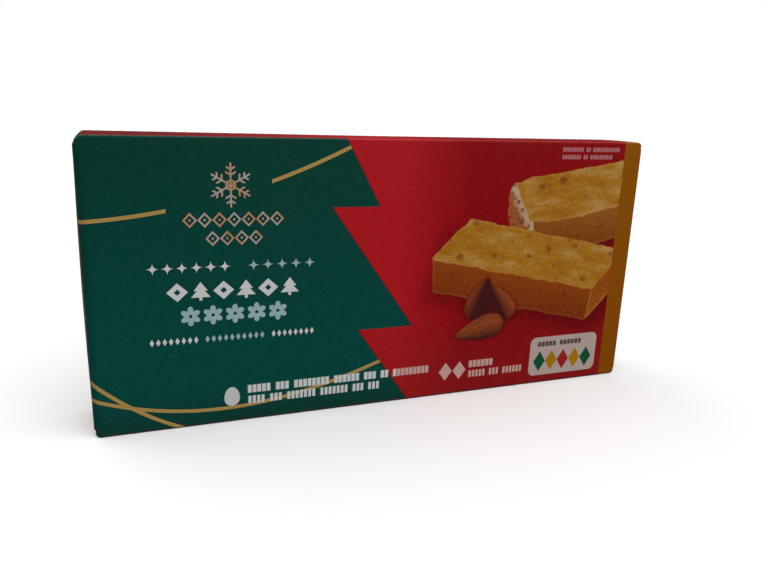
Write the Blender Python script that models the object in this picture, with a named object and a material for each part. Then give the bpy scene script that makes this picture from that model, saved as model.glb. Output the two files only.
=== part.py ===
"""A shut folding carton for a bar of soft nougat, standing on one of its long narrow sides.

The carton is one sheet of board, folded into a sleeve and glued, so it is one solid. At each end an
outer flap is hinged on the front panel and lies over the tucked flaps. The sleeve's glued seam runs
along the back's lower edge. +X runs along the carton to the right of someone who faces its front,
the front faces -Y, +Z is up, and the origin is in the middle of the side that it rests on.
"""

import math

import bmesh
import bpy
from mathutils import Vector

# Driving dimensions, in metres
LENGTH = 0.191
HEIGHT = 0.090
DEPTH = 0.022
BOARD = 0.00045
FOLD_RADIUS = 0.0007
CORNER_RADIUS = 0.0024

# How far the middle of each panel stands out of its plane, because the board springs back
FACE_BULGE = 0.0006
TOP_BULGE = 0.0003
END_BULGE = 0.0010

# The outer flap at each end leaves this much of the end bare above, below and behind it
FLAP_RIM = 0.0020
FLAP_BACK_GAP = 0.0006
FLAP_CORNER_RADIUS = 0.0030

# At the glued seam the back panel stops this far above the lower panel, and shows its thickness
SEAM_RISE = 0.0006

# The print: a fir tree's right side in three tiers, each as (reach at its top, reach at its tip,
# height of its tip), with reach measured from the left end, and a band round the right end
TREE_TIERS = (
    (0.0780, 0.0895, 0.0688),
    (0.0735, 0.1026, 0.0276),
    (0.0830, 0.1023, 0.0000),
)
END_BAND = 0.0074

# How finely the panels and the rounded edges are divided
COLUMNS = 16
ROWS = 8
LAYERS = 4
ROUND_STEPS = 4
FOLD_STEPS = 3

HALF_LENGTH = LENGTH / 2
HALF_DEPTH = DEPTH / 2
CUTTER_MARGIN = 0.004
NEAR = 1e-5

# Each printed colour as (linear red, green and blue), roughness; the order gives the slot numbers
BOARD_FINISHES = {
    "red_print": ((0.30, 0.010, 0.012), 0.42),
    "green_print": ((0.004, 0.044, 0.034), 0.42),
    "gold_print": ((0.21, 0.066, 0.002), 0.38),
    "raw_board": ((0.62, 0.58, 0.50), 0.85),
}
RED, GREEN, GOLD, RAW = range(len(BOARD_FINISHES))


def clear_scene():
    for leftover in list(bpy.data.objects):
        bpy.data.objects.remove(leftover, do_unlink=True)


def board_materials():
    """One Principled material for each printed colour and one for the cut edge of the board."""
    made = []
    for name, (colour, roughness) in BOARD_FINISHES.items():
        material = bpy.data.materials.new(name)
        material.use_nodes = True
        shader = material.node_tree.nodes["Principled BSDF"]
        shader.inputs["Base Color"].default_value = (*colour, 1.0)
        shader.inputs["Roughness"].default_value = roughness
        shader.inputs["Metallic"].default_value = 0.0
        made.append(material)
    return made


def object_from(mesh_data, name, materials):
    data = bpy.data.meshes.new(name)
    mesh_data.to_mesh(data)
    mesh_data.free()
    for material in materials:
        data.materials.append(material)
    made = bpy.data.objects.new(name, data)
    bpy.context.scene.collection.objects.link(made)
    return made


def box_mesh(low, high):
    """A box between two opposite corners."""
    low, high = Vector(low), Vector(high)
    mesh = bmesh.new()
    bmesh.ops.create_cube(mesh, size=1.0)
    bmesh.ops.scale(mesh, vec=high - low, verts=mesh.verts)
    bmesh.ops.translate(mesh, vec=(low + high) / 2, verts=mesh.verts)
    return mesh


def round_edges(mesh, edges, radius, steps):
    bmesh.ops.bevel(
        mesh,
        geom=edges,
        offset=radius,
        segments=steps,
        affect="EDGES",
        profile=0.5,
        material=-1,
    )


def score(mesh, faces, point, normal):
    """Splits the faces along a plane and keeps both sides of it."""
    corners = {vert for face in faces for vert in face.verts}
    sides = {edge for face in faces for edge in face.edges}
    bmesh.ops.bisect_plane(
        mesh,
        geom=[*corners, *sides, *faces],
        dist=NEAR / 10,
        plane_co=point,
        plane_no=normal,
    )


def spread(low, high, count):
    """The places that split a length into so many equal parts."""
    return [low + (high - low) * step / count for step in range(1, count)]


def rounded_block():
    """The folded sleeve's outer shape before its panels bulge."""
    mesh = box_mesh((-HALF_LENGTH, -HALF_DEPTH, 0.0), (HALF_LENGTH, HALF_DEPTH, HEIGHT))
    across = [e for e in mesh.edges if abs(e.verts[0].co.y - e.verts[1].co.y) > DEPTH / 2]
    round_edges(mesh, across, CORNER_RADIUS, ROUND_STEPS)
    folds = []
    for edge in mesh.edges:
        depths = [vert.co.y for vert in edge.verts]
        outline = min(abs(depth) for depth in depths) > HALF_DEPTH - NEAR and depths[0] * depths[1] > 0
        glued = min(depths) > 0 and max(vert.co.z for vert in edge.verts) < NEAR
        if outline and not glued:
            folds.append(edge)
    round_edges(mesh, folds, FOLD_RADIUS, FOLD_STEPS)
    return mesh


def score_grid(mesh):
    """Lines across every panel, so that it can bulge, and the line where the end band starts."""
    band_start = HALF_LENGTH - END_BAND
    for x in [*spread(-HALF_LENGTH, HALF_LENGTH, COLUMNS), band_start]:
        score(mesh, mesh.faces[:], (x, 0, 0), (1, 0, 0))
    for y in spread(-HALF_DEPTH, HALF_DEPTH, LAYERS):
        score(mesh, mesh.faces[:], (0, y, 0), (0, 1, 0))
    for z in spread(0.0, HEIGHT, ROWS):
        score(mesh, mesh.faces[:], (0, 0, z), (0, 0, 1))


def front_faces(mesh, low=-1.0, high=1.0):
    """The faces of the front panel whose middles lie between two heights."""
    found = []
    for face in mesh.faces:
        if face.normal.y < -0.9 and low < face.calc_center_median().z < high:
            found.append(face)
    return found


def tree_reach(z):
    """How far the printed tree reaches from the left end at a height."""
    above = HEIGHT
    for top_reach, tip_reach, tip in TREE_TIERS:
        if z >= tip:
            share = (above - z) / (above - tip)
            return top_reach + (tip_reach - top_reach) * share
        above = tip
    return TREE_TIERS[-1][1]


def score_tree(mesh):
    """The outline of the printed tree, scored into the front panel."""
    for *_, tip in TREE_TIERS[:-1]:
        score(mesh, front_faces(mesh), (0, 0, tip), (0, 0, 1))
    above = HEIGHT
    for top_reach, tip_reach, tip in TREE_TIERS:
        start = Vector((top_reach - HALF_LENGTH, 0, above))
        end = Vector((tip_reach - HALF_LENGTH, 0, tip))
        side = (end - start).cross(Vector((0, 1, 0)))
        score(mesh, front_faces(mesh, tip, above), start, side)
        above = tip


def print_colours(mesh):
    """Gives each face the slot of its printed colour."""
    on_front = set(front_faces(mesh))
    for face in mesh.faces:
        middle = face.calc_center_median()
        if abs(face.normal.x) > 0.9 or middle.x > HALF_LENGTH - END_BAND:
            face.material_index = GOLD
        elif face in on_front and middle.x + HALF_LENGTH < tree_reach(middle.z):
            face.material_index = GREEN
        else:
            face.material_index = RED


def pillow(share):
    """1 in the middle of a panel and 0 at its folds."""
    return max(0.0, 1.0 - share * share)


def bulge(mesh):
    """Moves the middle of each panel outwards. The side that the carton rests on stays flat."""
    for vert in mesh.verts:
        x, y, z = vert.co
        along, across, up = x / HALF_LENGTH, y / HALF_DEPTH, 2 * z / HEIGHT - 1
        vert.co.x += along * END_BULGE * pillow(across) * pillow(up)
        vert.co.y += across * FACE_BULGE * pillow(along) * pillow(up)
        vert.co.z += z / HEIGHT * TOP_BULGE * pillow(along) * pillow(across)


def quarter_turn(centre, radius, start_angle):
    """Points on a quarter of a circle, clockwise from an angle."""
    points = []
    for step in range(ROUND_STEPS + 1):
        angle = start_angle - math.pi / 2 * step / ROUND_STEPS
        points.append((centre[0] + radius * math.cos(angle), centre[1] + radius * math.sin(angle)))
    return points


def flap_cutter(side):
    """What is cut away round the outer flap of one end. It is a C that is open towards the front."""
    reach = HALF_DEPTH + CUTTER_MARGIN
    flap_back = HALF_DEPTH - FLAP_BACK_GAP
    flap_top = HEIGHT - FLAP_RIM
    outline = [(-reach, flap_top)]
    upper = (flap_back - FLAP_CORNER_RADIUS, flap_top - FLAP_CORNER_RADIUS)
    outline += quarter_turn(upper, FLAP_CORNER_RADIUS, math.pi / 2)
    lower = (flap_back - FLAP_CORNER_RADIUS, FLAP_RIM + FLAP_CORNER_RADIUS)
    outline += quarter_turn(lower, FLAP_CORNER_RADIUS, 0.0)
    outline += [(-reach, FLAP_RIM), (-reach, -CUTTER_MARGIN), (reach, -CUTTER_MARGIN)]
    outline += [(reach, HEIGHT + CUTTER_MARGIN), (-reach, HEIGHT + CUTTER_MARGIN)]
    mesh = bmesh.new()
    inner = side * (HALF_LENGTH - BOARD)
    sheet = mesh.faces.new([mesh.verts.new((inner, y, z)) for y, z in outline])
    grown = bmesh.ops.extrude_face_region(mesh, geom=[sheet])
    moved = [item for item in grown["geom"] if isinstance(item, bmesh.types.BMVert)]
    bmesh.ops.translate(mesh, vec=(side * CUTTER_MARGIN, 0, 0), verts=moved)
    bmesh.ops.recalc_face_normals(mesh, faces=mesh.faces[:])
    return mesh


def seam_cutter():
    """The step that the back panel's raw edge leaves along the glued seam."""
    reach = HALF_LENGTH + CUTTER_MARGIN
    return box_mesh(
        (-reach, HALF_DEPTH - BOARD, -CUTTER_MARGIN),
        (reach, HALF_DEPTH + CUTTER_MARGIN, SEAM_RISE),
    )


def cut_away(target, cutter_mesh, name, materials):
    """Adds a Boolean that takes the cutter's shape out of the target."""
    for face in cutter_mesh.faces:
        face.material_index = GOLD if abs(face.normal.x) > 0.9 else RAW
    cutter = object_from(cutter_mesh, name, materials)
    cutter.hide_render = True
    cutter.display_type = "WIRE"
    modifier = target.modifiers.new(name, "BOOLEAN")
    modifier.operation = "DIFFERENCE"
    modifier.solver = "EXACT"
    modifier.object = cutter


def build_carton():
    materials = board_materials()
    mesh = rounded_block()
    score_grid(mesh)
    score_tree(mesh)
    print_colours(mesh)
    bulge(mesh)
    carton = object_from(mesh, "carton", materials)
    cut_away(carton, flap_cutter(-1), "left_flap_cutter", materials)
    cut_away(carton, flap_cutter(1), "right_flap_cutter", materials)
    cut_away(carton, seam_cutter(), "seam_cutter", materials)


clear_scene()
build_carton()
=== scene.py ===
import math

import bmesh
import bpy
from mathutils import Matrix, Vector, noise


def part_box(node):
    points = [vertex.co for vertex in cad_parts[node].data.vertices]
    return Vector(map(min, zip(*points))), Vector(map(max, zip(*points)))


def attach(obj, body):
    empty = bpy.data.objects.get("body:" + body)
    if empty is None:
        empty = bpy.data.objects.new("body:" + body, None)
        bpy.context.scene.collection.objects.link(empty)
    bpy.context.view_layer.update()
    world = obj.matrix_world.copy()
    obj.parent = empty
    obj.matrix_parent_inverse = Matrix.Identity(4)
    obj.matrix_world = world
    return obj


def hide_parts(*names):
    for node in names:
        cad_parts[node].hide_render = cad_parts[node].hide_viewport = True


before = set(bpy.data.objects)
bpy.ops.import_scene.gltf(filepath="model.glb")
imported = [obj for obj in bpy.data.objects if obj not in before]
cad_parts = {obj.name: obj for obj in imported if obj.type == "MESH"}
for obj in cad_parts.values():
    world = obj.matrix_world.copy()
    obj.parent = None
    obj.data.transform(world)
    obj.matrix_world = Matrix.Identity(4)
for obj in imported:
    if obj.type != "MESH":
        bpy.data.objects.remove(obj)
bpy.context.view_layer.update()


# The folded carton
# One sheet of folding board, a little under half a millimetre thick, printed, creased, folded into a
# sleeve and glued along the back's lower edge. Its front and back bow outwards between the folds. At
# each end the outer flap, hinged on the front, lies over the tucked ones. One corner is knocked in.

BOARD = 0.00045
FOLD_RADIUS = 0.0005
CORNER_RADIUS = 0.0019
KNOCKED_CORNER = 0.0021
KNOCKED_EASE = 0.0006
KNOCKED_STEPS = 3
FACE_BULGE = 0.0006
TOP_BULGE = 0.0003
END_BULGE = 0.0008
TOP_SAG = 0.00015
BACK_SINK = 0.00035
ROLL_WIDTH = 0.0022
ROLL_DEPTH = 0.0013
ROLL_LINES = (0.55, 0.7, 0.85, 1.0)
FLAP_RIM = 0.0024
FLAP_BACK_GAP = 0.0006
FLAP_CORNER = 0.0026
FLAP_ZONE = 0.003
SEAM_RISE = 0.0006
RAW_EDGE_SLOPE = 0.00005
FOLD_SUPPORT = 0.00035
WARP = 0.00007
WARP_SCALE = 22.0
GRID = 0.0036
ROUND_STEPS = 6
FOLD_STEPS = 4
NEAR = 1e-6

# How squarely a face has to look along an axis: to be split as a flat one, to stop being a fold,
# and to count as an end
SQUARE_ON = 0.9
FOLD_TURN = 0.25
END_TURN = 0.7
SHARP_ANGLE = math.radians(40)

_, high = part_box("carton")
HALF_LENGTH = high.x - END_BULGE
HALF_DEPTH = high.y - FACE_BULGE
HEIGHT = high.z - TOP_BULGE
PANEL_EDGE = KNOCKED_CORNER + KNOCKED_EASE + FOLD_SUPPORT

PANELS = ("front", "back", "top_and_bottom", "ends", "raw_board")


def bevelled(mesh, edges, radius, steps):
    bmesh.ops.bevel(
        mesh, geom=edges, offset=radius, segments=steps, affect="EDGES", profile=0.5, material=-1
    )


def scored(mesh, point, normal, wanted=lambda face: True):
    """Splits the wanted faces along a plane."""
    faces = [face for face in mesh.faces if wanted(face)]
    edges = {edge for face in faces for edge in face.edges}
    verts = {vert for face in faces for vert in face.verts}
    bmesh.ops.bisect_plane(
        mesh, geom=[*verts, *edges, *faces], dist=NEAR, plane_co=point, plane_no=normal
    )


def evenly(start, end, step):
    count = math.ceil((end - start) / step)
    return [start + (end - start) * turn / count for turn in range(1, count)]


def edges_across(mesh, wanted):
    """Edges that run through the whole depth, and whose place along and above is wanted."""
    found = []
    for edge in mesh.edges:
        first, second = (vert.co for vert in edge.verts)
        if abs(first.y - second.y) > HALF_DEPTH and wanted(first.x, first.z):
            found.append(edge)
    return found


def folded_block():
    """The closed carton with its folds and corners, before its panels bow."""
    mesh = bmesh.new()
    bmesh.ops.create_cube(mesh, size=1.0)
    bmesh.ops.scale(mesh, vec=(2 * HALF_LENGTH, 2 * HALF_DEPTH, HEIGHT), verts=mesh.verts)
    bmesh.ops.translate(mesh, vec=(0, 0, HEIGHT / 2), verts=mesh.verts)
    knocked = edges_across(mesh, lambda x, z: x < 0 and z > HEIGHT / 2)
    bevelled(mesh, knocked, KNOCKED_CORNER, 1)
    reach = KNOCKED_CORNER + NEAR
    knocked = edges_across(mesh, lambda x, z: x < reach - HALF_LENGTH and z > HEIGHT - reach)
    bevelled(mesh, knocked, KNOCKED_EASE, KNOCKED_STEPS)
    sound = edges_across(mesh, lambda x, z: min(z, HEIGHT - z) < NEAR and abs(x) > HALF_LENGTH - NEAR)
    bevelled(mesh, sound, CORNER_RADIUS, ROUND_STEPS)
    folds = []
    for edge in mesh.edges:
        first, second = (vert.co for vert in edge.verts)
        outline = abs(first.y - second.y) < NEAR and abs(first.y) > HALF_DEPTH - NEAR
        glued = first.y > 0 and max(first.z, second.z) < NEAR
        if outline and not glued:
            folds.append(edge)
    bevelled(mesh, folds, FOLD_RADIUS, FOLD_STEPS)
    return mesh


def add_grid(mesh):
    """Lines across the panels for their bow, and a close line beside each fold to keep it crisp."""
    rolled = [ROLL_WIDTH * share for share in ROLL_LINES]
    for inset in (FOLD_RADIUS + FOLD_SUPPORT, *rolled, PANEL_EDGE):
        for side in (-1, 1):
            scored(mesh, (side * (HALF_LENGTH - inset), 0, 0), (1, 0, 0))
        for z in (inset, HEIGHT - inset):
            scored(mesh, (0, 0, z), (0, 0, 1))
    for side in (-1, 1):
        scored(mesh, (0, side * (HALF_DEPTH - FOLD_RADIUS - FOLD_SUPPORT), 0), (0, 1, 0))
    for x in evenly(PANEL_EDGE - HALF_LENGTH, HALF_LENGTH - PANEL_EDGE, GRID):
        scored(mesh, (x, 0, 0), (1, 0, 0))
    for z in evenly(PANEL_EDGE, HEIGHT - PANEL_EDGE, GRID):
        scored(mesh, (0, 0, z), (0, 0, 1))
    for y in evenly(-HALF_DEPTH, HALF_DEPTH, GRID):
        scored(mesh, (0, y, 0), (0, 1, 0))


def flap_planes(grown):
    """The edges of an outer flap as planes that face outwards, moved out by a distance."""
    back = HALF_DEPTH - FLAP_BACK_GAP
    top = HEIGHT - FLAP_RIM
    cut = FLAP_CORNER / math.sqrt(2)
    slant = math.sqrt(0.5)
    planes = [
        (Vector((0, 0, FLAP_RIM)), Vector((0, 0, -1))),
        (Vector((0, 0, top)), Vector((0, 0, 1))),
        (Vector((0, back, 0)), Vector((0, 1, 0))),
        (Vector((0, back - cut, top)), Vector((0, slant, slant))),
        (Vector((0, back - cut, FLAP_RIM)), Vector((0, slant, -slant))),
    ]
    return [(point + normal * grown, normal) for point, normal in planes]


def past_flap(place):
    """How far a place lies outside the outline of the outer flap. It is negative on the flap."""
    return max((place - point).dot(normal) for point, normal in flap_planes(0.0))


def near_end(face):
    return abs(face.calc_center_median().x) > HALF_LENGTH - FLAP_ZONE


def lay_flaps(mesh):
    """Presses what the outer flaps don't cover inwards by the board's thickness."""
    for grown in (0.0, RAW_EDGE_SLOPE):
        for point, normal in flap_planes(grown):
            scored(mesh, point, normal, near_end)
    limit = HALF_LENGTH - BOARD
    for vert in mesh.verts:
        if abs(vert.co.x) > limit and past_flap(vert.co) > RAW_EDGE_SLOPE / 2:
            vert.co.x = math.copysign(limit, vert.co.x)


def step_seam(mesh):
    """Stops the back panel's raw edge just above the lower panel, all along the glued seam."""
    scored(mesh, (0, 0, SEAM_RISE), (0, 0, 1), lambda face: face.normal.y > SQUARE_ON)
    scored(mesh, (0, HALF_DEPTH - BOARD, 0), (0, 1, 0), lambda face: face.normal.z < -SQUARE_ON)
    reach = HALF_LENGTH - PANEL_EDGE + NEAR
    for vert in mesh.verts:
        at_edge = vert.co.y > HALF_DEPTH - NEAR and vert.co.z < NEAR
        if at_edge and abs(vert.co.x) < reach:
            vert.co.y = HALF_DEPTH - BOARD
            vert.co.z = SEAM_RISE


def pillow(share):
    return max(0.0, 1.0 - share * share)


def bow(mesh):
    """Bows front, back and ends outwards, and warps them a little. The top sags and leans back.

    The left fold is a soft one: the front rolls back towards it.
    """
    for vert in mesh.verts:
        x, y, z = vert.co
        along, across, up = x / HALF_LENGTH, y / HALF_DEPTH, 2 * z / HEIGHT - 1
        wave = WARP * noise.noise(Vector((x, y, z)) * WARP_SCALE)
        end = pillow(across) * pillow(up)
        face = pillow(along) * pillow(up)
        top = pillow(along) * pillow(across)
        vert.co.x += along * (END_BULGE - WARP + wave) * end
        vert.co.y += across * (FACE_BULGE - WARP + wave) * face
        roll = max(0.0, 1.0 - (x + HALF_LENGTH) / ROLL_WIDTH) ** 2
        vert.co.y += max(0.0, -across) * ROLL_DEPTH * roll
        lean = BACK_SINK * max(0.0, across) * min(1.0, along + 1)
        vert.co.z -= z / HEIGHT * ((TOP_SAG + wave) * top + lean)


def name_panels(mesh):
    """Gives every face the slot of its panel. A fold towards the front or back counts as theirs."""
    for face in mesh.faces:
        middle, normal = face.calc_center_median(), face.normal
        panel = "top_and_bottom"
        at_end = abs(middle.x) > HALF_LENGTH - BOARD - NEAR
        if at_end and 0 < past_flap(middle) < RAW_EDGE_SLOPE:
            panel = "raw_board"
        elif abs(middle.z - SEAM_RISE) < NEAR and middle.y > HALF_DEPTH - BOARD - NEAR:
            panel = "raw_board"
        elif abs(normal.y) > FOLD_TURN:
            panel = "front" if normal.y < 0 else "back"
        elif abs(normal.x) > END_TURN:
            panel = "ends"
        face.material_index = PANELS.index(panel)


# How each side lies on the one map that its finish can be kept on: the directions that run along it
# and up it, its left and lower margin there, and its share of the map for each metre
SIDES_ON_MAP = {
    "front": (0, 2, 0.010, 0.530, 5.05),
    "back": (0, 2, 0.010, 0.225, 3.2),
    "top": (0, 1, 0.010, 0.130, 3.2),
    "base": (0, 1, 0.010, 0.035, 3.2),
    "left_end": (1, 2, 0.660, 0.225, 3.2),
    "right_end": (1, 2, 0.760, 0.225, 3.2),
    "raw_board": (0, 2, 0.700, 0.100, 0.8),
}


def lay_out_map(mesh):
    """Spreads the sides over one map, with the front largest."""
    layer = mesh.loops.layers.uv.new("OFBake")
    for face in mesh.faces:
        side = PANELS[face.material_index]
        if side == "top_and_bottom":
            side = "top" if face.normal.z > 0 else "base"
        elif side == "ends":
            side = "right_end" if face.normal.x > 0 else "left_end"
        along, up, left, bottom, share = SIDES_ON_MAP[side]
        for loop in face.loops:
            place = loop.vert.co + Vector((HALF_LENGTH, HALF_DEPTH, 0))
            loop[layer].uv = (left + place[along] * share, bottom + place[up] * share)


def smooth_object(mesh, name):
    data = bpy.data.meshes.new(name)
    mesh.to_mesh(data)
    mesh.free()
    data.shade_smooth()
    data.set_sharp_from_angle(angle=SHARP_ANGLE)
    made = bpy.data.objects.new(name, data)
    bpy.context.scene.collection.objects.link(made)
    return made


board = folded_block()
add_grid(board)
step_seam(board)
lay_flaps(board)
board.normal_update()
name_panels(board)
bow(board)
lay_out_map(board)
carton = smooth_object(board, "printed_carton")
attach(carton, "root")
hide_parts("carton")


# The board's finish
# Offset inks under a satin varnish. The varnish is smooth but follows the fibres of the board a
# little, and along the folds the ink is rubbed and cracked, so that the pale board shows through.

# The print is laid out in millimetres. These are the carton's length, height and depth in them
MM = 1000.0
L = 2 * HALF_LENGTH * MM
H = HEIGHT * MM
D = 2 * HALF_DEPTH * MM

VARNISH_ROUGHNESS = 0.24
VARNISH_CHANGE = 0.12
VARNISH_PATCHES = 0.35
VARNISH_SPECULAR = 0.08
FIBRE_STRENGTH = 0.10
FIBRE_DEPTH = 0.00004
FIBRE_SCALE = 2.6
FIBRE_STRETCH = 3.0
INK_MOTTLE = 0.009
MOTTLE_SCALE = 0.75
MOTTLE_FADE = (0.35, 0.65)
RUBBED_SHARE = 0.12
RUBBED_WIDTH = (0.55, 0.1)
RUBBED_SCALE = 0.9
RUBBED_FADE = (0.42, 0.75)
RAW_SCALE = 6.0
RAW_ROUGHNESS = 0.9
TRAP_SHARE = 0.6
TRAP_WIDTH = (0.30, 0.12)
CRISP = 0.12


def linear(*seen):
    """Linear light from a colour of 0 to 255 as a screen shows it."""
    parts = []
    for level in seen:
        share = level / 255
        parts.append(share / 12.92 if share <= 0.04045 else ((share + 0.055) / 1.055) ** 2.4)
    return tuple(parts)


RUBBED_BOARD = linear(196, 190, 176)
PRESSED_BOARD = linear(172, 164, 150)
TORN_BOARD = linear(206, 200, 188)
TRAP_INK = linear(20, 30, 26)


class Value:
    """A number that changes over the surface. Arithmetic with it adds Math nodes to its paint."""

    def __init__(self, paint, socket):
        self.paint = paint
        self.socket = socket

    def __add__(self, other):
        return self.paint.math("ADD", self, other)

    __radd__ = __add__

    def __sub__(self, other):
        return self.paint.math("SUBTRACT", self, other)

    def __rsub__(self, other):
        return self.paint.math("SUBTRACT", other, self)

    def __mul__(self, other):
        return self.paint.math("MULTIPLY", self, other)

    __rmul__ = __mul__

    def __truediv__(self, other):
        return self.paint.math("DIVIDE", self, other)

    def __rtruediv__(self, other):
        return self.paint.math("DIVIDE", other, self)

    def __neg__(self):
        return self.paint.math("MULTIPLY", self, -1.0)

    def __abs__(self):
        return self.paint.math("ABSOLUTE", self)


class Paint:
    """One printed material. Its places are millimetres from the left end, the middle and the base."""

    def __init__(self, name):
        self.material = bpy.data.materials.new(name)
        self.material.use_nodes = True
        self.tree = self.material.node_tree
        self.shader = self.tree.nodes["Principled BSDF"]
        start = self.node("ShaderNodeTexCoord", output="Object")
        settings = {"vector_type": "POINT"}
        inputs = {"Vector": start, "Location": (HALF_LENGTH * MM, 0, 0), "Scale": (MM, MM, MM)}
        self.place = self.node("ShaderNodeMapping", settings, inputs)
        self.x = self.node("ShaderNodeSeparateXYZ", None, {"Vector": self.place})
        self.y, self.z = (self.also(self.x, name) for name in ("Y", "Z"))
        settings = {"vector_type": "POINT"}
        inputs = {"Vector": self.place, "Rotation": (-math.pi / 2, 0, 0)}
        self.flat = self.node("ShaderNodeMapping", settings, inputs)

    def node(self, kind, settings=None, inputs=None, output=0):
        """Adds a node, sets it up, and gives one of its outputs."""
        made = self.tree.nodes.new(kind)
        for name, setting in (settings or {}).items():
            setattr(made, name, setting)
        for key, value in (inputs or {}).items():
            if isinstance(value, Value):
                self.tree.links.new(value.socket, made.inputs[key])
            elif value is not None:
                made.inputs[key].default_value = value
        return Value(self, made.outputs[output])

    def also(self, value, output):
        """Another output of the node that a value comes from."""
        return Value(self, value.socket.node.outputs[output])

    def feed(self, value, name):
        self.tree.links.new(value.socket, self.shader.inputs[name])

    def math(self, operation, *terms, clamp=False):
        settings = {"operation": operation, "use_clamp": clamp}
        return self.node("ShaderNodeMath", settings, dict(enumerate(terms)))

    def lowest(self, first, *others):
        for other in others:
            first = self.math("MINIMUM", first, other)
        return first

    def highest(self, first, *others):
        for other in others:
            first = self.math("MAXIMUM", first, other)
        return first

    def fade(self, value, start, end):
        """0 at the start, 1 at the end, and a straight ramp between."""
        scale = 1.0 / (end - start)
        return self.math("MULTIPLY_ADD", value, scale, -start * scale, clamp=True)

    def mix(self, share, under, over):
        """The colour under, covered by the colour over by a share."""
        under, over = ((*c, 1.0) if isinstance(c, tuple) else c for c in (under, over))
        settings = {"data_type": "RGBA", "clamp_factor": True}
        return self.node("ShaderNodeMix", settings, {0: share, 6: under, 7: over}, output=2)

    def printed(self, colour, shape, ink, edge=CRISP):
        """The colour with an ink over it where the distance from a shape's outline is negative."""
        return self.mix(self.fade(shape, edge / 2, -edge / 2), colour, ink)

    def trapped(self, colour, shape, ink):
        """Prints a light ink that a thin dark line surrounds, where the green was held back for it."""
        dark = self.fade(shape, *TRAP_WIDTH) * TRAP_SHARE
        return self.printed(self.mix(dark, colour, TRAP_INK), shape, ink)

    def noise(self, scale, detail=2.0, roughness=0.5, vector=None):
        inputs = {"Scale": scale, "Detail": detail, "Roughness": roughness}
        inputs["Vector"] = vector or self.place
        return self.node("ShaderNodeTexNoise", {"noise_dimensions": "3D"}, inputs)

    def drawn_out(self, stretch, turn=0.0):
        """Places for a pattern that is longer along a direction in the front's plane."""
        settings = {"vector_type": "TEXTURE"}
        inputs = {"Vector": self.place, "Rotation": (0, -turn, 0), "Scale": (stretch, 1, 1)}
        return self.node("ShaderNodeMapping", settings, inputs)

    def spots(self, spacing):
        """Distance from the nearest point of many on the front, in spacings, and a draw for each."""
        settings = {"feature": "F1", "voronoi_dimensions": "2D"}
        inputs = {"Vector": self.flat, "Scale": 1 / spacing}
        distance = self.node("ShaderNodeTexVoronoi", settings, inputs, output="Distance")
        return distance, self.also(distance, "Color")

    def box(self, left, right, bottom, top, radius=0.0):
        """Distance from a rectangle with rounded corners."""
        aside = abs(self.x - (left + right) / 2) - ((right - left) / 2 - radius)
        above = abs(self.z - (bottom + top) / 2) - ((top - bottom) / 2 - radius)
        if not radius:
            return self.highest(aside, above)
        aside, above = self.highest(aside, 0.0), self.highest(above, 0.0)
        return self.math("SQRT", aside * aside + above * above) - radius

    def polygon(self, corners, place, radius):
        """Distance from a convex shape whose corners run anticlockwise and are rounded."""
        x, z = place
        shape = None
        for (x0, z0), (x1, z1) in zip(corners, corners[1:] + corners[:1]):
            run = math.hypot(x1 - x0, z1 - z0)
            out_x, out_z = (z1 - z0) / run, (x0 - x1) / run
            side = self.math("MULTIPLY_ADD", z, out_z, -(x0 * out_x + z0 * out_z))
            side = self.math("MULTIPLY_ADD", x, out_x, side)
            shape = self.math("SMOOTH_MAX", shape, side, radius) if shape else side
        return shape

    def rubbed(self, colour, *from_folds):
        """Rubs the ink through in patches, close to folds that are given distances away."""
        nearest = self.lowest(*from_folds)
        patches = self.noise(RUBBED_SCALE, 4.0, 0.6)
        share = self.fade(nearest, *RUBBED_WIDTH) * self.fade(patches, *RUBBED_FADE)
        return self.mix(share * RUBBED_SHARE, colour, RUBBED_BOARD)

    def varnished(self, colour):
        """Lays the varnish over the print, whose ink is a little thinner on the board's crests."""
        thin = self.fade(self.noise(MOTTLE_SCALE, 3.0, 0.7), *MOTTLE_FADE) * INK_MOTTLE
        self.feed(self.mix(thin, colour, RUBBED_BOARD), "Base Color")
        dull = self.noise(VARNISH_PATCHES, 3.0) * VARNISH_CHANGE + VARNISH_ROUGHNESS
        self.feed(dull, "Roughness")
        fibres = self.noise(FIBRE_SCALE, 3.0, 0.6, self.drawn_out(FIBRE_STRETCH))
        inputs = {"Strength": FIBRE_STRENGTH, "Distance": FIBRE_DEPTH, "Height": fibres}
        self.feed(self.node("ShaderNodeBump", None, inputs), "Normal")
        self.shader.inputs["Specular IOR Level"].default_value = VARNISH_SPECULAR
        return self.material


def raw_board():
    """The grey and layered core of the board, where it was cut."""
    paint = Paint("raw_board")
    layers = paint.noise(RAW_SCALE, 3.0, 0.6)
    paint.feed(paint.mix(layers, PRESSED_BOARD, TORN_BOARD), "Base Color")
    paint.shader.inputs["Roughness"].default_value = RAW_ROUGHNESS
    return paint.material


# The fields of colour
# The left part of front and back is a green field that ends in the side of a fir tree, darker
# towards the top and the foot with painted shade. The rest is red, which darkens to the right with a
# painted soft shadow, and a gold band goes round the right end. The sleeve is printed a little out
# of place, so the red of top and base shows on the folds, darkened there by painted shade. Gold
# garlands cross the green.

# The green is darker towards the top and the foot than in the middle: painted shade.
GREEN_TOP = linear(3, 67, 54)
GREEN_MIDDLE = linear(0, 79, 71)
GREEN_LOW = linear(15, 65, 55)
RED = linear(194, 26, 36)
# The deeper red is painted shadow: the red darkens to the right as if a soft shadow fell there.
RED_IN_SHADOW = linear(154, 9, 16)
RED_LOW = linear(152, 34, 32)
# The reds that show on the folds are darker than top and base: print with painted shade in it.
TOP_FOLD_SHADED_RED = linear(136, 14, 20)
BASE_FOLD_SHADED_RED = linear(110, 40, 42)
GOLD_TOP = linear(160, 93, 0)
GOLD_LOW = linear(150, 81, 0)
GARLAND_GOLD = linear(191, 151, 76)
GARLAND_EDGE = linear(186, 163, 100)

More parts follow.
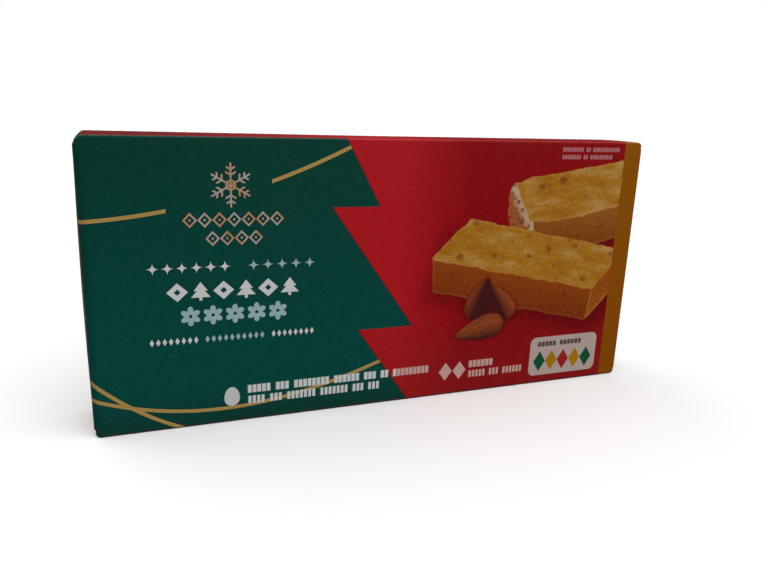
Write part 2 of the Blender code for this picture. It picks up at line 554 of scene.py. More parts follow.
# Each tier of the tree: how far it reaches at its top and at its tip, and the height of its tip
TREE_TIERS = (
    (78.0, 89.5, 68.75),
    (73.5, 102.6, 27.5),
    (83.0, 102.3, 0.0),
)
TRAP_LINE = 0.28
HAIR = 0.05
GREEN_RISE = 28.0
GREEN_FALL = 12.0
# Where the painted soft shadow over the red begins and ends, in millimetres along the carton
SHADOW_EDGE = (98.0, 122.0)
RED_FALL = 34.0
RED_FALL_SHARE = 0.5
BAND = 7.5

# The garlands: the long and the steep one as bend, slope at the left end and height there
GARLAND_WIDTH = 1.15
GARLAND_RIM = (-0.42, -0.18)
LONG_ARC = (0.002736, 0.0527, 66.0)
LONG_ARC_GAP = (23.5, 54.5, 60.0, H)
STEEP_ARC = (0.0103, -0.954, 17.9)
STEEP_ARC_END = 40.0
HANGING_LOW = (38.0, 5.0)
HANGING_BEND = (-0.0000145, 0.00455)
HANGING_SLOPE = 0.0088

TOP_WRAP = 0.06
TOP_WRAP_EDGE = 0.06
# A thin pale line along the top fold, which stops before the red
PALE_LINE = 0.22
PALE_LINE_WIDTH = (0.18, 0.05)
PALE_LINE_END = (79.0, 76.0)
PALE_LINE_SHARE = 0.025
BASE_WRAP = 0.40
BASE_WRAP_RISE = 0.0022
BASE_WRAP_EDGE = 0.2


def tree_edge(paint):
    """Distance to the right of the fir tree's edge, measured along the carton."""
    reach, above = None, H
    for top_reach, tip_reach, tip in TREE_TIERS:
        slope = (tip_reach - top_reach) / (tip - above)
        tier = paint.math("MULTIPLY_ADD", paint.z, slope, top_reach - slope * above)
        if reach:
            tier = reach + (tier - reach) * paint.math("LESS_THAN", paint.z, above)
        reach, above = tier, tip
    return paint.x - reach


def arc(x, bend, slope, height):
    """The height of an arc at a place along the carton, and its slope there."""
    return x * x * bend + x * slope + height, x * (2 * bend) + slope


def garland(paint, height, slope):
    """Distance from a garland that hangs at a height, from its slope there."""
    steep = paint.math("SQRT", slope * slope + 1.0)
    return abs(paint.z - height) / steep - GARLAND_WIDTH / 2


def garlands(paint, colour, on_green):
    """The long arc with a gap for the ornament, and two that cross in the lower left corner."""
    x = paint.x
    long = paint.highest(garland(paint, *arc(x, *LONG_ARC)), -paint.box(*LONG_ARC_GAP))
    steep = paint.highest(garland(paint, *arc(x, *STEEP_ARC)), x - STEEP_ARC_END)
    from_low = x - HANGING_LOW[0]
    easing, bend = HANGING_BEND
    height = from_low * from_low * (from_low * easing + bend) + HANGING_LOW[1]
    hanging = garland(paint, height, from_low * HANGING_SLOPE)
    shape = paint.lowest(long, steep, hanging)
    gold = paint.mix(paint.fade(shape, *GARLAND_RIM), GARLAND_GOLD, GARLAND_EDGE)
    return paint.mix(on_green, colour, paint.trapped(colour, shape, gold))


def fields(paint):
    """The fields of colour, with the garlands over the green."""
    edge = tree_edge(paint)
    # The green darkens towards the top and the foot: painted shade.
    green = paint.mix(paint.fade(paint.z, GREEN_RISE, H), GREEN_MIDDLE, GREEN_TOP)
    green = paint.mix(paint.fade(paint.z, GREEN_FALL, 0.0), green, GREEN_LOW)
    # The red darkens to the right with a painted soft shadow.
    red = paint.mix(paint.fade(paint.x, *SHADOW_EDGE), RED, RED_IN_SHADOW)
    red = paint.mix(paint.fade(paint.z, RED_FALL, 0.0) * RED_FALL_SHARE, red, RED_LOW)
    on_red = paint.fade(edge, -HAIR, HAIR)
    colour = paint.mix(on_red, green, red)
    trap = paint.fade(abs(edge), TRAP_LINE, TRAP_LINE / 2)
    colour = paint.mix(trap * TRAP_SHARE, colour, TRAP_INK)
    return garlands(paint, colour, 1.0 - on_red)


def gold_band(paint, colour):
    gold = paint.mix(paint.fade(paint.z, 0.0, H), GOLD_LOW, GOLD_TOP)
    return paint.mix(paint.fade(paint.x, L - BAND - HAIR, L - BAND + HAIR), colour, gold)


def folded_round(paint, colour):
    """The gold band, and the red of the top and base where it comes over the folds, darkened there by
    painted shade.
    """
    # The base's red over the lower fold is darkened to a brown red, which is painted shade.
    below = paint.z - paint.x * BASE_WRAP_RISE
    share = paint.fade(below, BASE_WRAP + BASE_WRAP_EDGE, BASE_WRAP - BASE_WRAP_EDGE)
    colour = paint.mix(share, colour, BASE_FOLD_SHADED_RED)
    # The top's red over the upper fold is darker than the top, which is painted shade.
    above = H - paint.z
    share = paint.fade(above, TOP_WRAP + TOP_WRAP_EDGE, TOP_WRAP - TOP_WRAP_EDGE)
    colour = paint.mix(share, colour, TOP_FOLD_SHADED_RED)
    # A thin pale line along the top fold, over the green only
    pale_line = paint.fade(abs(above - PALE_LINE), *PALE_LINE_WIDTH) * paint.fade(paint.x, *PALE_LINE_END)
    colour = paint.mix(pale_line * PALE_LINE_SHARE, colour, RUBBED_BOARD)
    return paint.rubbed(gold_band(paint, colour), paint.x, L - paint.x, paint.z, above)


# The ornaments
# Plain winter ornaments and rows of small blocks, printed in foil and light inks: lattices and a
# snow star in copper, rows of stars, fir trees, lozenges and flowers in white and mint, and an egg.

COPPER = linear(194, 150, 112)
# The paler copper is painted sheen on the foil.
COPPER_SHEEN = linear(187, 180, 170)
WHITE = linear(226, 229, 227)
WARM_WHITE = linear(220, 175, 168)
FAINT_WHITE = linear(199, 130, 136)
MINT = linear(166, 198, 198)
EGG_WHITE = linear(219, 219, 216)

# Width and slant of the bands of painted sheen on the foil
FOIL_SHEEN_BAND = 0.62
FOIL_SHEEN_SLANT = 0.6

STAR_MIDDLE = (42.2, 76.0)
STAR_REACH = 6.6
STAR_LINE = 0.27
STAR_BARBS = ((0.45, 0.24), (0.70, 0.20))
STAR_RING = 0.2

EGG_MIDDLE = (41.25, 8.15)
EGG_WIDE = 2.45
EGG_LOWER = 2.6
EGG_UPPER = 3.85
SLIT = 0.28


def copper_foil_and_sheen(paint):
    """Copper foil with painted sheen: slanting bands of a paler copper stand in for light on the foil.
    """
    sheen = paint.math("SINE", (paint.x + paint.z * FOIL_SHEEN_SLANT) * FOIL_SHEEN_BAND) * 0.5 + 0.5
    return paint.mix(sheen, COPPER, COPPER_SHEEN)


def snow_star(paint, colour, ink):
    """A star of six arms with two pairs of barbs each, round a small ring."""
    aside, above = paint.x - STAR_MIDDLE[0], paint.z - STAR_MIDDLE[1]
    sector = math.pi / 3
    angle = paint.math("ARCTAN2", aside, above) + sector / 2
    turned = paint.math("FLOORED_MODULO", angle, sector) - sector / 2
    radius = paint.math("SQRT", aside * aside + above * above)
    along = radius * paint.math("COSINE", turned)
    across = abs(radius * paint.math("SINE", turned))
    shape = paint.highest(across - STAR_LINE, along - STAR_REACH)
    for start, length in STAR_BARBS:
        barb = abs((along - STAR_REACH * start) * math.sin(sector) - across * math.cos(sector))
        barb = paint.highest(barb - STAR_LINE, across - STAR_REACH * length)
        shape = paint.lowest(shape, barb)
    ring = abs(radius - STAR_REACH * STAR_RING) - STAR_LINE
    return paint.trapped(colour, paint.lowest(shape, ring), ink)


def lozenge(aside, above, wide, tall):
    """Distance from a lozenge, from a place measured from its middle."""
    return (abs(aside) / wide + abs(above) / tall - 1.0) * (wide * tall / math.hypot(wide, tall))


def triangle(paint, aside, above, wide, base, tip):
    rise = tip - base
    slanted = abs(aside) / wide + (above - base) / rise - 1.0
    return paint.highest(slanted * (wide * rise / math.hypot(wide, rise)), base - above)


def fir_tree(paint, aside, above, wide, tall):
    """Two tiers over a short trunk, from shares of half the tree's width and height."""
    upper = triangle(paint, aside, above, wide * 0.72, tall * 0.05, tall)
    lower = triangle(paint, aside, above, wide, tall * -0.66, tall * 0.5)
    trunk = paint.highest(abs(aside) - wide * 0.15, abs(above + tall * 0.8) - tall * 0.2)
    return paint.lowest(upper, lower, trunk)


def in_row(paint, left, right, bottom, top, count):
    """A place measured from the middle of its cell in a row, the cell's half width, half its height."""
    pitch = (right - left) / count
    aside = paint.math("FLOORED_MODULO", paint.x - left, pitch) - pitch / 2
    return aside, paint.z - (bottom + top) / 2, pitch / 2, (top - bottom) / 2


def row(paint, colour, ink, shape, room):
    """Prints a shape that repeats, only inside the row's own room: left, right, bottom and top."""
    return paint.trapped(colour, paint.highest(shape, paint.box(*room)), ink)


def lattice_row(paint, colour, ink, room, count):
    """Lozenges drawn as a line, with a small full one in each."""
    aside, above, wide, tall = in_row(paint, *room, count)
    shape = lozenge(aside, above, wide, tall)
    rim = abs(shape + STAR_LINE) - STAR_LINE
    return row(paint, colour, ink, paint.lowest(rim, shape + tall * 0.55), room)


def small_stars(paint, colour, ink, room, count):
    """Stars of four points with narrow waists."""
    aside, above, _, reach = in_row(paint, *room, count)
    waist = paint.math("SQRT", abs(aside) / reach) + paint.math("SQRT", abs(above) / reach)
    return row(paint, colour, ink, (waist - 1.06) * (reach * 0.5), room)


def beads(paint, colour, ink, room, count):
    aside, above, wide, tall = in_row(paint, *room, count)
    return row(paint, colour, ink, lozenge(aside, above, wide * 0.72, tall), room)


def forest_row(paint, colour, ink, room, count):
    """Lozenges with a hole and fir trees, by turns."""
    aside, above, wide, tall = in_row(paint, *room, count)
    whole = lozenge(aside, above, wide * 0.92, tall)
    shape = paint.highest(whole, -lozenge(aside, above, wide * 0.30, tall * 0.33))
    tree = fir_tree(paint, aside, above, wide * 0.86, tall)
    double = paint.math("FLOORED_MODULO", paint.x - room[0], wide * 4)
    shape = shape + (tree - shape) * paint.math("GREATER_THAN", double, wide * 2)
    return row(paint, colour, ink, shape, room)


def flower_row(paint, colour, ink, room, count):
    """Flowers of six petals, each with a free middle."""
    aside, above, _, reach = in_row(paint, *room, count)
    radius = paint.math("SQRT", aside * aside + above * above)
    petals = abs(paint.math("COSINE", paint.math("ARCTAN2", aside, above) * 3.0))
    shape = radius - (petals * 0.46 + 0.54) * reach
    return row(paint, colour, ink, paint.highest(shape, reach * 0.17 - radius), room)


def blocks(paint, colour, ink, left, bottom, top, pitch, groups, slit=SLIT):
    """A line of small blocks in groups, with one blank between two groups."""
    start = paint.x - left
    cells = sum(groups) + len(groups) - 1
    cell = paint.math("FLOORED_MODULO", start, pitch)
    shape = paint.highest(slit - cell, paint.box(left, left + cells * pitch, bottom, top))
    blank = 0
    for group in groups[:-1]:
        blank += group
        shape = paint.highest(shape, pitch / 2 - abs(start - (blank + 0.5) * pitch))
        blank += 1
    return paint.printed(colour, shape, ink)


def egg(paint, colour, ink):
    """An egg that stands upright: half a circle below, half a longer oval above."""
    aside, above = (paint.x - EGG_MIDDLE[0]) / EGG_WIDE, paint.z - EGG_MIDDLE[1]
    above = paint.highest(above / EGG_UPPER, above / -EGG_LOWER)
    radius = paint.math("SQRT", aside * aside + above * above)
    return paint.printed(colour, (radius - 1.0) * EGG_WIDE, ink)


# The picture
# Two broken bars of soft nougat, one behind the other, with three almonds before them. The bars'
# tops are gold with pale streaks and brown chips of nut, their sides are darker, one end is crumbly.

NOUGAT_TOP = linear(188, 128, 32)
NOUGAT_STREAK = linear(212, 170, 100)
NOUGAT_SYRUP = linear(174, 104, 4)
NOUGAT_RIM = linear(208, 146, 66)
SIDE_LIGHT = linear(160, 72, 14)
SIDE_DARK = linear(134, 48, 6)
REAR_SIDE_LIGHT = linear(166, 100, 34)
REAR_SIDE_DARK = linear(140, 70, 14)
END_FACE = linear(166, 84, 14)
CRUMB = linear(208, 176, 140)
CRUMB_SHADE = linear(172, 98, 50)
CRUMB_PIT = linear(126, 58, 30)
NUT_CHIP = linear(118, 50, 18)
ALMOND_DARK = linear(76, 26, 28)
ALMOND_LIGHT = linear(162, 80, 36)
UNDER_BARS = linear(84, 3, 11)

FRONT_BAR_TURN = math.atan2(-13.8, 66.8)
REAR_BAR_TURN = math.atan2(5.6, 45.0)

# The corners of what is drawn, anticlockwise, and how much they are rounded
SHADED_GROUND = ((108, 38), (176, 20.5), (192, 33), (192, 58), (114, 58))
REAR_SIDE = ((145.5, 64.0), (147.0, 57.0), (163.0, 50.6), (188.0, 55.5), (188.0, 68.5))
REAR_END = ((139.6, 76.2), (136.8, 73.0), (136.8, 65.5), (139.2, 59.0), (148.6, 57.5), (147.0, 64.0))
REAR_TOP = ((139.4, 75.6), (146.4, 62.0), (160.0, 62.2), (188.0, 68.0), (188.0, 83.6), (142.0, 77.0))
FRONT_SIDE = ((108.8, 50.8), (110.0, 38.8), (174.8, 23.4), (176.2, 36.6))
FRONT_END = ((175.8, 36.2), (174.6, 23.6), (188.0, 38.0), (188.0, 51.0))
FRONT_TOP = ((108.6, 50.4), (176.2, 35.4), (188.0, 50.4), (122.6, 64.0))
GROUND_ROUND = 6.0
GROUND_FADE = (5.5, -2.0)
BAR_ROUND = 1.2
BAR_EDGE = 0.3
NUT_EDGE = 0.25
WAVER_SCALES = (0.16, 0.15)
WAVER = 2.6
STREAK_SCALE = 0.24
STREAK_STRETCH = 2.8
TOP_CHIPS = (11.0, 0.17)
SIDE_CHIPS = (12.5, 0.13)
CHIP_EDGE = (0.05, -0.06)
CHIP_RAGGED = 0.22
CRUMB_LINE = (140.0, 75.7)
CRUMB_TURN = (-0.906, -0.423)
CRUMB_FADE = (1.8, 5.0)
PIT_SPACING = 2.4
PIT_EDGE = (0.10, -0.10)
REAR_SHADE = (67.0, 54.0)
FRONT_SHADE = (51.0, 37.0)
FRONT_START = 110.0
FRONT_DROP = 0.204

# Each almond's middle, turn, length and width, and from where to where the light falls across it
ALMONDS = (
    ((137.2, 33.2), math.radians(123), 14.6, 8.6, (0.3, -0.6)),
    ((128.6, 35.0), math.radians(70), 15.8, 9.8, (0.1, 1.1)),
    ((129.0, 24.0), math.radians(193), 19.6, 8.8, (0.9, -0.2)),
)


def wavering(paint):
    """Places that waver a little, which gives what is drawn with them uneven edges."""
    along = paint.noise(WAVER_SCALES[0], 3.0, 0.55)
    above = paint.noise(WAVER_SCALES[1], 3.0, 0.55, paint.drawn_out(1.0, 1.3))
    return paint.x + (along - 0.5) * WAVER, paint.z + (above - 0.5) * WAVER


def chips(paint, colour, spacing, size):
    """Brown chips of nut, with ragged edges, that sink into what they lie in."""
    distance, draw = paint.spots(spacing)
    ragged = distance + (paint.noise(0.7, 3.0, 0.6) - 0.5) * CHIP_RAGGED
    share = paint.fade(ragged - draw * size, *CHIP_EDGE)
    return paint.mix(share * 0.7, colour, NUT_CHIP)


def bar_face(paint, colour, place, corners, body, grit, rim):
    """One face of a bar, with crumbs in its colour, chips of nut, and a light rim."""
    shape = paint.polygon(corners, place, BAR_ROUND)
    grain = paint.noise(1.3, 3.0, 0.7)
    body = paint.mix(paint.fade(grain, 0.50, 0.80) * grit, body, NOUGAT_STREAK)
    body = paint.mix(paint.fade(grain, 0.48, 0.22) * grit, body, SIDE_DARK)
    body = paint.mix(paint.fade(shape, -1.0, -0.1) * rim, body, NOUGAT_RIM)
    return paint.printed(colour, shape, body, BAR_EDGE)


def bar_top(paint, colour, place, corners, turn):
    """A bar's top, with broad pale streaks along it, patches of darker syrup, and chips."""
    streaks = paint.noise(STREAK_SCALE, 3.0, 0.62, paint.drawn_out(STREAK_STRETCH, turn))
    body = paint.mix(paint.fade(streaks, 0.50, 0.68) * 0.75, NOUGAT_TOP, NOUGAT_STREAK)
    body = paint.mix(paint.fade(streaks, 0.47, 0.34) * 0.8, body, NOUGAT_SYRUP)
    body = chips(paint, body, *TOP_CHIPS)
    return bar_face(paint, colour, place, corners, body, 0.45, 0.35)


def bar_side(paint, colour, place, corners, body):
    body = chips(paint, body, *SIDE_CHIPS)
    return bar_face(paint, colour, place, corners, body, 0.20, 0.15)


def crumbly_end(paint, colour, place, corners):
    """The broken end of the rear bar: pale crumbs by its top's edge, then shaded ones with pits."""
    x, z = place
    from_top = (x - CRUMB_LINE[0]) * CRUMB_TURN[0] + (z - CRUMB_LINE[1]) * CRUMB_TURN[1]
    shaded = from_top + (75.0 - z) * 0.12 + (paint.noise(0.55, 3.0, 0.6) - 0.5) * 7.0
    body = paint.mix(paint.fade(shaded, *CRUMB_FADE), CRUMB, CRUMB_SHADE)
    distance, draw = paint.spots(PIT_SPACING)
    pits = paint.fade(distance - draw * 0.45 + (paint.noise(0.9, 2.0) - 0.5) * 0.6, *PIT_EDGE)
    body = paint.mix(pits * 0.8, body, CRUMB_PIT)
    shape = paint.polygon(corners, place, BAR_ROUND)
    return paint.printed(colour, shape, body, BAR_EDGE)


def almond(paint, colour, middle, turn, length, width, lit):
    """An almond in its skin, round at one end, pointed at the other, ridged and lit from one side."""
    aside, above = paint.x - middle[0], paint.z - middle[1]
    along = (aside * math.cos(turn) + above * math.sin(turn)) / (length / 2)
    across = (above * math.cos(turn) - aside * math.sin(turn)) / (width / 2)
    taper = paint.highest(1.0 - (along + 0.1) * 0.46, 0.12)
    swollen = across / taper
    shape = (along * along + swollen * swollen - 1.0) * (width * 0.25)
    ridges = paint.noise(1.3, 2.0, 0.6, paint.drawn_out(5.0, turn))
    share = paint.fade(swollen, *lit) * paint.fade(ridges, 0.05, 0.55)
    skin = paint.mix(share, ALMOND_DARK, ALMOND_LIGHT)
    skin = paint.mix(paint.fade(shape, -0.5, 0.0) * 0.3, skin, ALMOND_DARK)
    colour = paint.mix(paint.fade(shape, 1.4, 0.0) * 0.5, colour, UNDER_BARS)
    return paint.printed(colour, shape, skin, NUT_EDGE)


def nougat_picture(paint, colour):
    """Draws the picture from the back to the front."""
    place = wavering(paint)
    x, z = place
    ground = paint.polygon(SHADED_GROUND, place, GROUND_ROUND)
    colour = paint.mix(paint.fade(ground, *GROUND_FADE) * 0.6, colour, UNDER_BARS)
    body = paint.mix(paint.fade(z, *REAR_SHADE), REAR_SIDE_LIGHT, REAR_SIDE_DARK)
    colour = bar_side(paint, colour, place, REAR_SIDE, body)
    colour = crumbly_end(paint, colour, place, REAR_END)
    colour = bar_top(paint, colour, place, REAR_TOP, REAR_BAR_TURN)
    drop = z + (x - FRONT_START) * FRONT_DROP
    body = paint.mix(paint.fade(drop, *FRONT_SHADE), SIDE_LIGHT, SIDE_DARK)
    colour = bar_side(paint, colour, place, FRONT_SIDE, body)
    colour = bar_face(paint, colour, place, FRONT_END, END_FACE, 0.20, 0.45)
    colour = bar_top(paint, colour, place, FRONT_TOP, FRONT_BAR_TURN)
    for nut in ALMONDS:
        colour = almond(paint, colour, *nut)
    return colour


# The front's print
# The ornaments lie over the green, the picture over the red, and a pale plate in the lower right
# corner. Lines of small blocks run along the foot, cooler on the green and warmer on the red.

PLATE_WHITE = linear(203, 180, 172)
PLATE_GREY = linear(92, 84, 82)
PLATE_INKS = (
    linear(16, 92, 58),
    linear(186, 132, 10),
    linear(170, 40, 36),
    linear(186, 132, 10),
    linear(16, 92, 58),
)
PLATE_BOX = (151.4, 181.1, 3.1, 18.3, 2.5)
PLATE_LINE = (154.4, 14.5, 16.4, 1.62, (5, 6))
PLATE_MIDDLE = (166.25, 8.7)
PLATE_PITCH = 5.2
PLATE_LOZENGE = 4.0

# Each row's ink, its room from left to right and from bottom to top, and how many are in it
LATTICES = (((27.9, 58.1, 63.5, 68.1), 7), ((34.4, 51.6, 57.9, 62.5), 4))
STAR_ROWS = ((WHITE, (16.9, 42.0, 49.8, 53.4), 6), (MINT, (46.4, 68.5, 49.8, 53.4), 5))
FOREST = (WHITE, (22.3, 63.3, 41.3, 47.1), 6)
FLOWERS = (MINT, (26.0, 59.4, 33.4, 39.6), 5)
BEAD_ROWS = (
    (WHITE, (16.9, 31.7, 27.7, 30.0), 8),
    (MINT, (33.2, 52.0, 27.7, 30.0), 10),
    (WHITE, (53.8, 68.1, 27.7, 30.0), 8),
)

# Each line of blocks: its left, bottom and top, its pitch, its groups and the slit between blocks
LINES_ON_GREEN = (
    (46.0, 9.4, 12.1, 1.52, (5, 3, 8, 6, 3, 2, 9), 0.28),
    (46.0, 5.6, 8.3, 1.416, (4, 3, 7, 7, 3, 3), 0.42),
)
WARMER = (97.0, 98.5)
LINES_ON_RED = (
    (WARM_WHITE, 125.6, 9.5, 12.1, 1.67, (6,), 0.28),
    (WARM_WHITE, 125.6, 5.7, 8.3, 1.41, (5, 3, 6), 0.45),
    (FAINT_WHITE, 157.0, 86.5, 88.0, 0.98, (9, 2, 12), 0.3),
    (FAINT_WHITE, 157.0, 83.9, 85.4, 0.98, (8, 2, 10), 0.3),
)
PAIR_MIDDLES = ((116.6, 8.85), (122.1, 8.85))
PAIR_SIZE = (2.6, 3.4)


def plate(paint, colour):
    """A pale rounded plate with a line of blocks over a row of coloured lozenges."""
    colour = paint.printed(colour, paint.box(*PLATE_BOX), PLATE_WHITE)
    colour = blocks(paint, colour, PLATE_GREY, *PLATE_LINE)
    middle = PLATE_MIDDLE[0] - PLATE_PITCH * (len(PLATE_INKS) - 1) / 2
    for ink in PLATE_INKS:
        aside, above = paint.x - middle, paint.z - PLATE_MIDDLE[1]
        colour = paint.printed(colour, lozenge(aside, above, PLATE_PITCH / 2, PLATE_LOZENGE), ink)
        middle += PLATE_PITCH
    return colour


def print_front():
    paint = Paint("front_print")
    # Copper ink with painted sheen
    foil = copper_foil_and_sheen(paint)
    colour = snow_star(paint, fields(paint), foil)
    for lattice in LATTICES:
        colour = lattice_row(paint, colour, foil, *lattice)
    for stars in STAR_ROWS:
        colour = small_stars(paint, colour, *stars)
    colour = forest_row(paint, colour, *FOREST)
    colour = flower_row(paint, colour, *FLOWERS)
    for string in BEAD_ROWS:
        colour = beads(paint, colour, *string)
    colour = egg(paint, colour, EGG_WHITE)
    line_ink = paint.mix(paint.fade(paint.x, *WARMER), WHITE, WARM_WHITE)
    for line in LINES_ON_GREEN:
        colour = blocks(paint, colour, line_ink, *line)
    colour = nougat_picture(paint, colour)
    for middle, height in PAIR_MIDDLES:
        shape = lozenge(paint.x - middle, paint.z - height, *PAIR_SIZE)
        colour = paint.printed(colour, shape, WARM_WHITE)
    for line in LINES_ON_RED:
        colour = blocks(paint, colour, *line)
    colour = plate(paint, colour)
    return paint.varnished(folded_round(paint, colour))


# The other panels
# The back carries on the front's fields, with its own rows of blocks and a pale panel. The top and
# base are red, duller to the left, with the gold band. The ends are gold, with green at the left
# one's folds and at the knocked-in corner.

TOP_DULL = linear(130, 26, 25)
TOP_RED = linear(184, 28, 36)
# The deeper red of top and base is painted shadow, as on the front.
TOP_RED_IN_SHADOW = linear(156, 14, 20)
BACK_GREY = linear(104, 96, 94)
BACK_PANEL = (114.0, 176.0, 10.0, 79.0, 3.0)
BACK_LINES = ((6, 3, 8, 2, 7, 9), (8, 5, 3, 9, 10), (4, 9, 2, 7, 6, 6))
TABLE_LINES = ((7, 5), (9,), (5, 6), (11,))
BACK_FOREST = (WHITE, (22.3, 63.3, 57.6, 63.4), 6)

# Lines of blocks on the back: their left, the first one's base, the step from line to line, the
# height and pitch of their blocks, and the groups in each line
LINES_ON_BACK = (14.0, 49.0, 4.3, 2.0, 1.45, BACK_LINES * 2)
TABLE_ROWS = 11
TABLE_LEFT = (119.0, 70.0, 5.4, 2.2, 1.5, (TABLE_LINES * 3)[:TABLE_ROWS])
TABLE_RIGHT = (160.0, 70.0, 5.4, 2.2, 1.5, ((3, 3),) * TABLE_ROWS)

DULL_GRADIENT = (24.0, 88.0)
KNOCKED_EDGE = 0.1
END_BLEED = 1.3
BLEED_EDGE = 0.08


def block_lines(paint, colour, ink, left, first, step, height, pitch, lines):
    for line, groups in enumerate(lines):
        base = first - step * line
        colour = blocks(paint, colour, ink, left, base, base + height, pitch, groups)
    return colour


def print_back():
    paint = Paint("back_print")
    colour = snow_star(paint, fields(paint), copper_foil_and_sheen(paint))
    colour = forest_row(paint, colour, *BACK_FOREST)
    colour = block_lines(paint, colour, MINT, *LINES_ON_BACK)
    colour = paint.printed(colour, paint.box(*BACK_PANEL), PLATE_WHITE)
    colour = block_lines(paint, colour, BACK_GREY, *TABLE_LEFT)
    colour = block_lines(paint, colour, BACK_GREY, *TABLE_RIGHT)
    return paint.varnished(folded_round(paint, colour))


def knocked_in(paint, colour):
    """Green where the knocked corner has pushed the front's print over the fold."""
    reach = KNOCKED_CORNER * MM
    along = paint.fade(paint.x, reach + KNOCKED_EDGE, reach - KNOCKED_EDGE)
    down = paint.fade(H - paint.z, reach + KNOCKED_EDGE, reach - KNOCKED_EDGE)
    return paint.mix(along * down, colour, GREEN_TOP)


def print_top_and_base():
    paint = Paint("top_and_base_print")
    # The red of top and base darkens to the right with the same painted shadow as the front.
    red = paint.mix(paint.fade(paint.x, *SHADOW_EDGE), TOP_RED, TOP_RED_IN_SHADOW)
    red = paint.mix(paint.fade(paint.x, *DULL_GRADIENT), TOP_DULL, red)
    colour = gold_band(paint, red)
    colour = knocked_in(paint, colour)
    from_side = D / 2 - abs(paint.y)
    return paint.varnished(paint.rubbed(colour, paint.x, L - paint.x, from_side))


def print_ends():
    """Gold, with the green of front and back coming a little way round the left end's folds."""
    paint = Paint("end_print")
    from_side = D / 2 - abs(paint.y)
    bleed = paint.fade(from_side, END_BLEED + BLEED_EDGE, END_BLEED - BLEED_EDGE)
    bleed = bleed * paint.math("LESS_THAN", paint.x, L / 2)
    gold = paint.mix(paint.fade(paint.z, 0.0, H), GOLD_LOW, GOLD_TOP)
    colour = knocked_in(paint, paint.mix(bleed, gold, GREEN_MIDDLE))
    return paint.varnished(paint.rubbed(colour, from_side, paint.z, H - paint.z))


for finish in (print_front(), print_back(), print_top_and_base(), print_ends(), raw_board()):
    carton.data.materials.append(finish)


# The studio
# A pale floor under a soft dome of light that is brightest overhead, with a wide soft light before
# the carton and a weaker one behind it to the left. The camera looks down a little.

CAMERA_PLACE = Vector((-0.0870, -0.2212, 0.1025))
CAMERA_RIGHT = Vector((0.9326, -0.3591, 0.0358))
CAMERA_DOWN = Vector((-0.0616, -0.2562, -0.9647))
CAMERA_AHEAD = Vector((0.3556, 0.8975, -0.2610))
CAMERA_LENS = 33.0
SENSOR = 36.0
NEAREST_SEEN = 0.01

camera_data = bpy.data.cameras.new("camera")
camera_data.lens = CAMERA_LENS
camera_data.sensor_width = SENSOR
camera_data.clip_start = NEAREST_SEEN
camera = bpy.data.objects.new("camera", camera_data)
facing = Matrix((CAMERA_RIGHT, -CAMERA_DOWN, -CAMERA_AHEAD)).transposed()
camera.matrix_world = Matrix.Translation(CAMERA_PLACE) @ facing.to_4x4()
bpy.context.scene.collection.objects.link(camera)
bpy.context.scene.camera = camera
bpy.context.scene.view_settings.view_transform = "Standard"

FLOOR_REACH = 30.0
FLOOR_SEEN = 0.985
FLOOR_BOUNCE = 0.09
BACKDROP = 1.0
DOME_SLOPE = 1.60
DOME_START = 0.28
DOME_LEAST = 0.03

# Where each light comes from, its strength, and how many degrees of the sky it fills
FRONT_LIGHT = (Vector((0.45, -1.0, 1.15)), 1.95, 90.0)
REAR_LIGHT = (Vector((-0.7, 0.8, 0.9)), 0.80, 60.0)


def soft_light(name, place, strength, softness):
    """Light that comes evenly from a wide patch of sky round a place."""
    data = bpy.data.lights.new(name, "SUN")
    data.energy = strength
    data.angle = math.radians(softness)
    lamp = bpy.data.objects.new(name, data)
    lamp.location = place
    lamp.rotation_mode = "QUATERNION"
    lamp.rotation_quaternion = place.to_track_quat("Z", "Y")
    bpy.context.scene.collection.objects.link(lamp)


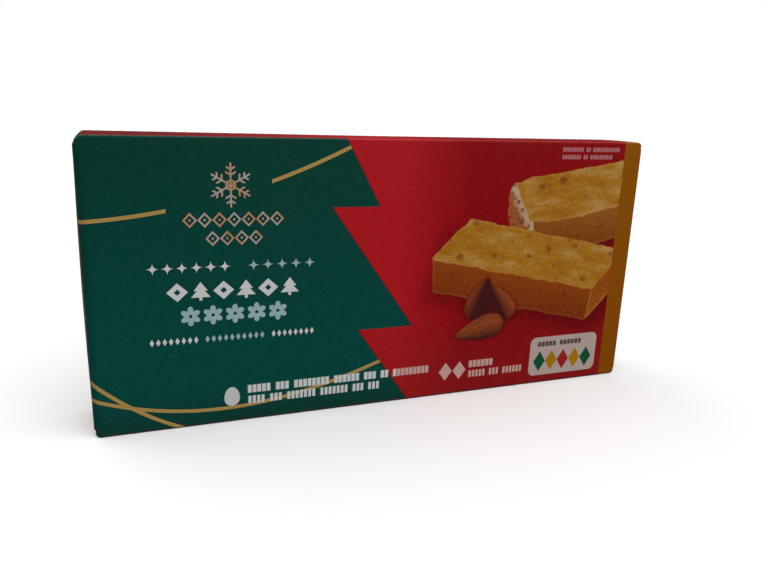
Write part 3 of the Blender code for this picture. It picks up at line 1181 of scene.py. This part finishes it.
def seen_or_lit(tree, lighting, seen, output):
    """Gives one shader to what the camera sees, and another to the light that comes from it."""
    ray = tree.nodes.new("ShaderNodeLightPath")
    either = tree.nodes.new("ShaderNodeMixShader")
    tree.links.new(ray.outputs["Is Camera Ray"], either.inputs[0])
    tree.links.new(lighting.outputs[0], either.inputs[1])
    tree.links.new(seen.outputs[0], either.inputs[2])
    tree.links.new(either.outputs[0], tree.nodes[output].inputs["Surface"])


floor_mesh = bmesh.new()
bmesh.ops.create_grid(floor_mesh, x_segments=1, y_segments=1, size=FLOOR_REACH)
floor = smooth_object(floor_mesh, "floor")
floor_material = bpy.data.materials.new("floor")
floor_material.use_nodes = True
floor_tree = floor_material.node_tree
seen = floor_tree.nodes["Principled BSDF"]
seen.inputs["Base Color"].default_value = (FLOOR_SEEN, FLOOR_SEEN, FLOOR_SEEN, 1.0)
seen.inputs["Roughness"].default_value = 1.0
seen.inputs["Specular IOR Level"].default_value = 0.0
bounced = floor_tree.nodes.new("ShaderNodeBsdfDiffuse")
bounced.inputs["Color"].default_value = (FLOOR_BOUNCE, FLOOR_BOUNCE, FLOOR_BOUNCE, 1.0)
seen_or_lit(floor_tree, bounced, seen, "Material Output")
floor.data.materials.append(floor_material)

world = bpy.data.worlds.new("dome")
world.use_nodes = True
bpy.context.scene.world = world
nodes, links = world.node_tree.nodes, world.node_tree.links
backdrop = nodes["Background"]
backdrop.inputs["Color"].default_value = (BACKDROP, BACKDROP, BACKDROP, 1.0)
dome = nodes.new("ShaderNodeBackground")
direction = nodes.new("ShaderNodeTexCoord")
heights = nodes.new("ShaderNodeSeparateXYZ")
links.new(direction.outputs["Generated"], heights.inputs[0])
rise = nodes.new("ShaderNodeMath")
rise.operation = "MULTIPLY_ADD"
links.new(heights.outputs["Z"], rise.inputs[0])
rise.inputs[1].default_value = DOME_SLOPE
rise.inputs[2].default_value = -DOME_SLOPE * DOME_START
strength = nodes.new("ShaderNodeMath")
strength.operation = "MAXIMUM"
links.new(rise.outputs[0], strength.inputs[0])
strength.inputs[1].default_value = DOME_LEAST
links.new(strength.outputs[0], dome.inputs["Strength"])
seen_or_lit(world.node_tree, dome, backdrop, "World Output")

soft_light("front_light", *FRONT_LIGHT)
soft_light("rear_light", *REAR_LIGHT)
